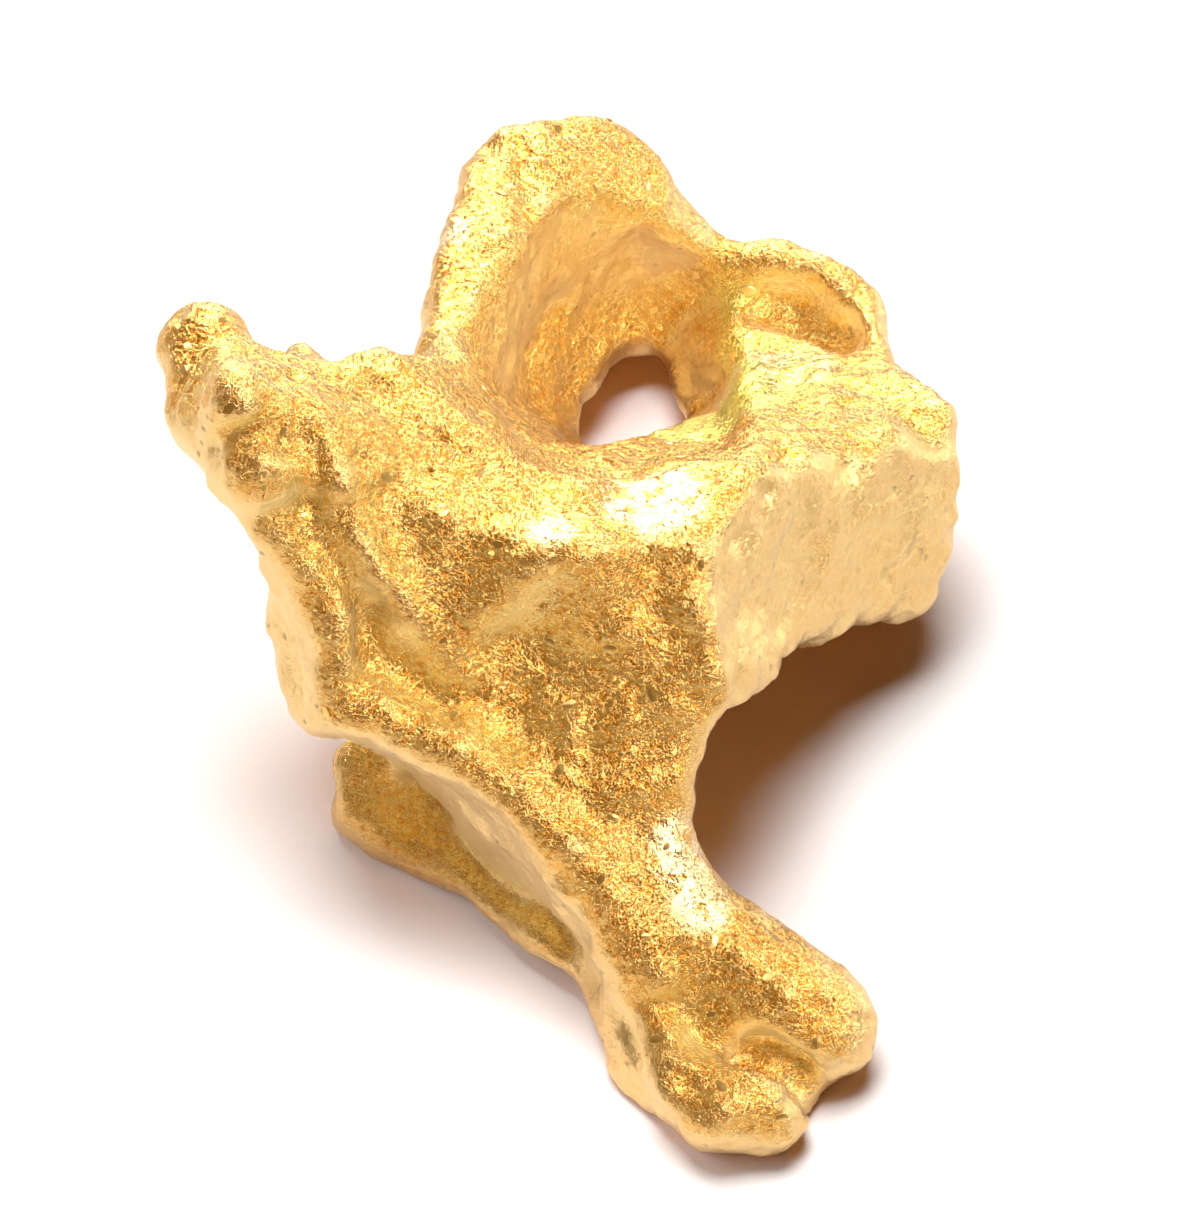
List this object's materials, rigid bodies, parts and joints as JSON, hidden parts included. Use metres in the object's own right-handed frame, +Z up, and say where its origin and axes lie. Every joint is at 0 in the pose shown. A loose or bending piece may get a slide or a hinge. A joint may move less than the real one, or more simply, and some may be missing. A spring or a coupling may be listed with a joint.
{
  "type": "gold nugget",
  "caption": "Natural gold nugget with a knobbed horn, a torn hollow cup with a hole in its floor, an overhanging wall and a leg that ends in a foot.",
  "frame": {"origin": "middle of the bounding box at its lowest level, on the ground", "axes": "+Z up from the ground, +Y towards the back, from the foot to the cup, +X to the right, away from the horn"},
  "size_m": [0.0148, 0.0209, 0.0107],
  "materials": {
    "gold": "natural gold: grainy and sparkling on the upper faces, smooth and satin on the undersides"
  },
  "bodies": {
    "root": {"nugget": "gold"}
  },
  "joints": []
}
